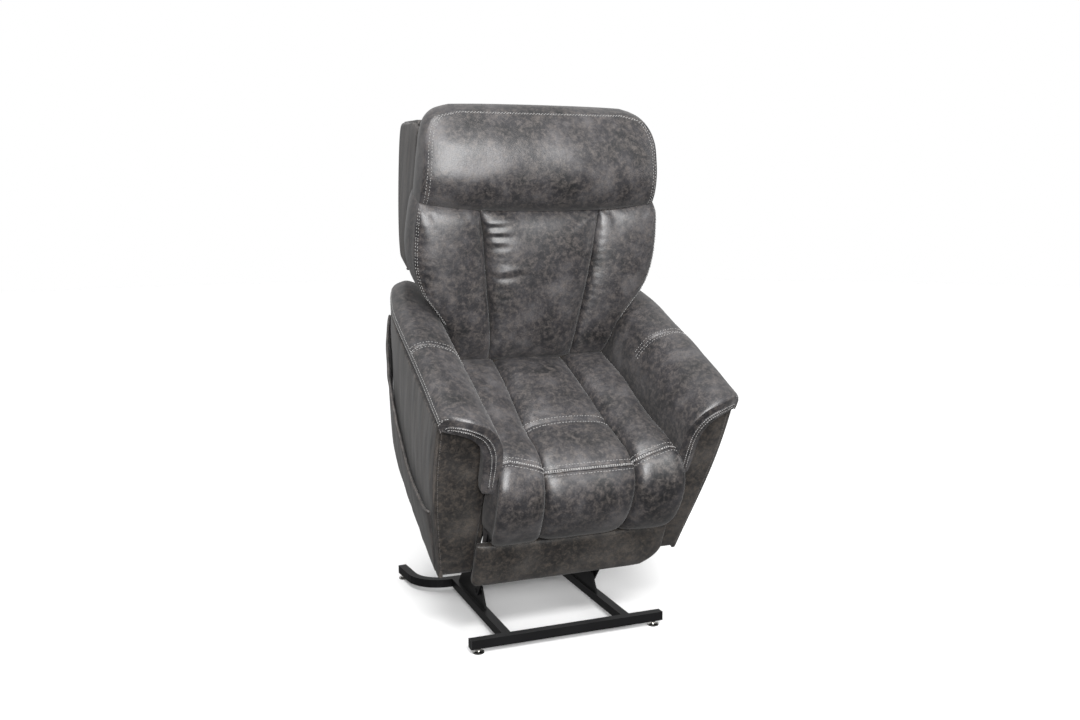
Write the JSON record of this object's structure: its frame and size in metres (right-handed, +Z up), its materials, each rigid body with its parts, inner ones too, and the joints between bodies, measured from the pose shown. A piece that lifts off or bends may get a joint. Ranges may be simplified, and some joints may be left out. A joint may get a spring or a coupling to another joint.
{
  "type": "lift recliner chair",
  "caption": "Upholstered power lift recliner, raised and tilted forward on a tubular steel base, with a reclining back and a fold-out footrest.",
  "frame": {"origin": "middle of the chair's footprint, on the floor", "axes": "+Z up, the chair faces -Y, +X is the sitter's left"},
  "size_m": [0.835, 0.8908, 1.4656],
  "materials": {
    "upholstery": "distressed charcoal faux leather with light grey topstitching",
    "cushion": "the same faux leather over foam",
    "steel": "satin black powder coat",
    "zinc": "zinc plated",
    "nickel": "nickel plated",
    "plastic": "moulded black plastic",
    "plywood": "raw plywood"
  },
  "bodies": {
    "base": {"front_cross_tube": "steel", "rear_bow_tube": "steel", "side_rail_left": "steel", "side_rail_right": "steel", "front_end_cap_left": "plastic", "front_end_cap_right": "plastic", "rear_end_cap_left": "plastic", "rear_end_cap_right": "plastic", "front_foot_left": "nickel", "front_foot_right": "nickel", "rear_foot_left": "nickel", "rear_foot_right": "nickel", "pivot_bracket_left": "steel", "pivot_bracket_right": "steel", "actuator_foot_clevis": "steel"},
    "lift_links": {"front_lift_link_left": "steel", "front_lift_link_right": "steel", "torque_tube": "steel"},
    "rear_links": {"rear_lift_link_left": "steel", "rear_lift_link_right": "steel"},
    "lift_actuator": {"lift_actuator_body": "plastic"},
    "lift_rod": {"lift_actuator_rod": "zinc"},
    "chair": {"lift_side_plate_left": "steel", "lift_side_plate_right": "steel", "rear_link_hanger_left": "steel", "rear_link_hanger_right": "steel", "front_cross_member": "steel", "actuator_cross_member": "steel", "footrest_hinge_plate_left": "steel", "footrest_hinge_plate_right": "steel", "seat_deck": "plywood", "seat_cushion": "cushion", "arm_inner_panel_left": "upholstery", "arm_inner_panel_right": "upholstery", "arm_side_panel_left": "upholstery", "arm_side_panel_right": "upholstery", "arm_front_panel_left": "upholstery", "arm_front_panel_right": "upholstery", "arm_pad_left": "cushion", "arm_pad_right": "cushion", "side_pocket": "upholstery", "control_box": "plastic", "power_inlet": "plastic"},
    "back": {"back_frame": "plywood", "back_outer_panel": "upholstery", "back_wing_left": "upholstery", "back_wing_right": "upholstery", "back_cushion": "cushion", "headrest": "cushion", "back_hinge_bracket_left": "steel", "back_hinge_bracket_right": "steel"},
    "footrest": {"footrest_board": "upholstery", "footrest_pad": "cushion", "footrest_arm_left": "steel", "footrest_arm_right": "steel", "footrest_crossbar": "steel"},
    "footrest_actuator": {"footrest_actuator_body": "plastic"},
    "footrest_rod": {"footrest_actuator_rod": "zinc"},
    "back_actuator": {"back_actuator_body": "plastic"},
    "back_rod": {"back_actuator_rod": "zinc"}
  },
  "joints": [
    {"name": "lift", "type": "hinge", "parent": "base", "child": "lift_links", "pos_m": [0, 0.0253, 0.08], "axis": [1, 0, 0], "range_deg": [0, 40.18]},
    {"name": "chair_tilt", "type": "hinge", "parent": "lift_links", "child": "chair", "pos_m": [0, -0.1573, 0.3008], "axis": [1, 0, 0], "range_deg": [-65.3, 0]},
    {"name": "rear_link_swing", "type": "hinge", "parent": "base", "child": "rear_links", "pos_m": [0, 0.1653, 0.09], "axis": [1, 0, 0], "range_deg": [0, 58.6]},
    {"name": "lift_actuator_swing", "type": "hinge", "parent": "base", "child": "lift_actuator", "pos_m": [0, 0.2453, 0.065], "axis": [1, 0, 0], "range_deg": [0, 25.3]},
    {"name": "lift_rod_slide", "type": "slide", "parent": "lift_actuator", "child": "lift_rod", "axis": [0, -0.5139, 0.8578], "range_m": [-0.1675, 0]},
    {"name": "recline", "type": "hinge", "parent": "chair", "child": "back", "pos_m": [0, 0.2389, 0.6391], "axis": [-1, 0, 0], "range_deg": [0, 40]},
    {"name": "back_actuator_swing", "type": "hinge", "parent": "chair", "child": "back_actuator", "pos_m": [0, -0.0482, 0.45], "axis": [-1, 0, 0], "range_deg": [-2.7, 0]},
    {"name": "back_rod_slide", "type": "slide", "parent": "back_actuator", "child": "back_rod", "axis": [0, 0.9729, 0.2312], "range_m": [-0.082, 0]},
    {"name": "footrest", "type": "hinge", "parent": "chair", "child": "footrest", "pos_m": [0, -0.3429, 0.5498], "axis": [-1, 0, 0], "range_deg": [0, 75]},
    {"name": "footrest_actuator_swing", "type": "hinge", "parent": "chair", "child": "footrest_actuator", "pos_m": [0, 0.08112, 0.43309], "axis": [-1, 0, 0], "range_deg": [0, 10.6]},
    {"name": "footrest_rod_slide", "type": "slide", "parent": "footrest_actuator", "child": "footrest_rod", "axis": [0, -0.9815, -0.1915], "range_m": [0, 0.231]}
  ],
  "couplings": [
    {"joint": "chair_tilt", "follows": "lift", "ratio": -1.6222},
    {"joint": "rear_link_swing", "follows": "lift", "ratio": 1.4546},
    {"joint": "lift_actuator_swing", "follows": "lift", "ratio": 0.62616},
    {"joint": "lift_rod_slide", "follows": "lift", "m_per_rad": -0.23713},
    {"joint": "back_actuator_swing", "follows": "recline", "ratio": -0.0643},
    {"joint": "back_rod_slide", "follows": "recline", "m_per_rad": -0.11594},
    {"joint": "footrest_actuator_swing", "follows": "footrest", "ratio": 0.13873},
    {"joint": "footrest_rod_slide", "follows": "footrest", "m_per_rad": 0.17525}
  ]
}
